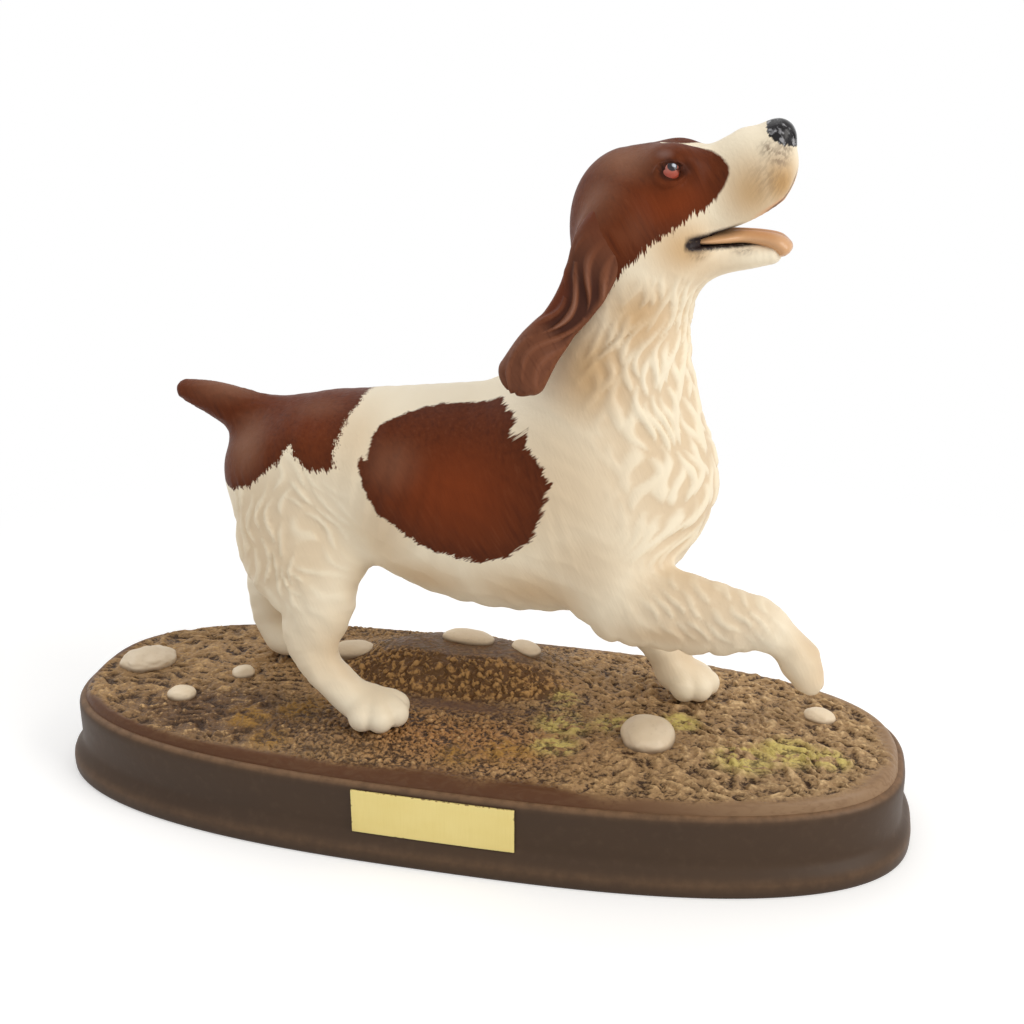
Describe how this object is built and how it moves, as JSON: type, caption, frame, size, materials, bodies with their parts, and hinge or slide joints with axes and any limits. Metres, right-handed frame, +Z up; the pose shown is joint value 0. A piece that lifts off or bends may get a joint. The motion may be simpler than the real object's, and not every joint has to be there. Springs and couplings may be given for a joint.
{
  "type": "dog figurine",
  "caption": "Glazed ceramic spaniel stepping forward with one forepaw raised, head up and mouth open, on earth modelled over an oval plinth with a blank gold plate.",
  "frame": {"origin": "bottom centre of the plinth", "axes": "+X along the plinth towards the dog's nose, +Y towards the dog's left, +Z up"},
  "size_m": [0.273, 0.108, 0.2083],
  "materials": {
    "dog_glaze": "satin cream glaze with liver-brown painted patches",
    "liver_glaze": "satin liver-brown glaze",
    "tongue_glaze": "satin peach-pink glaze",
    "earth_glaze": "satin brown, ochre and green glaze over rough earth",
    "pebble_glaze": "satin beige glaze",
    "plinth_glaze": "satin dark brown glaze, worn along the ledge",
    "plate_brass": "thin pale gold plate, satin"
  },
  "bodies": {
    "root": {"torso": "dog_glaze", "head": "dog_glaze", "leg_fore_right": "dog_glaze", "leg_fore_left": "dog_glaze", "leg_hind_right": "dog_glaze", "leg_hind_left": "dog_glaze", "tail": "liver_glaze", "ear_right": "liver_glaze", "ear_left": "liver_glaze", "tongue": "tongue_glaze", "plinth": "plinth_glaze", "ground": "earth_glaze", "name_plate": "plate_brass", "pebble_1": "pebble_glaze", "pebble_2": "pebble_glaze", "pebble_3": "pebble_glaze", "pebble_4": "pebble_glaze", "pebble_5": "pebble_glaze", "pebble_6": "pebble_glaze", "pebble_7": "pebble_glaze", "pebble_8": "pebble_glaze"}
  },
  "joints": []
}
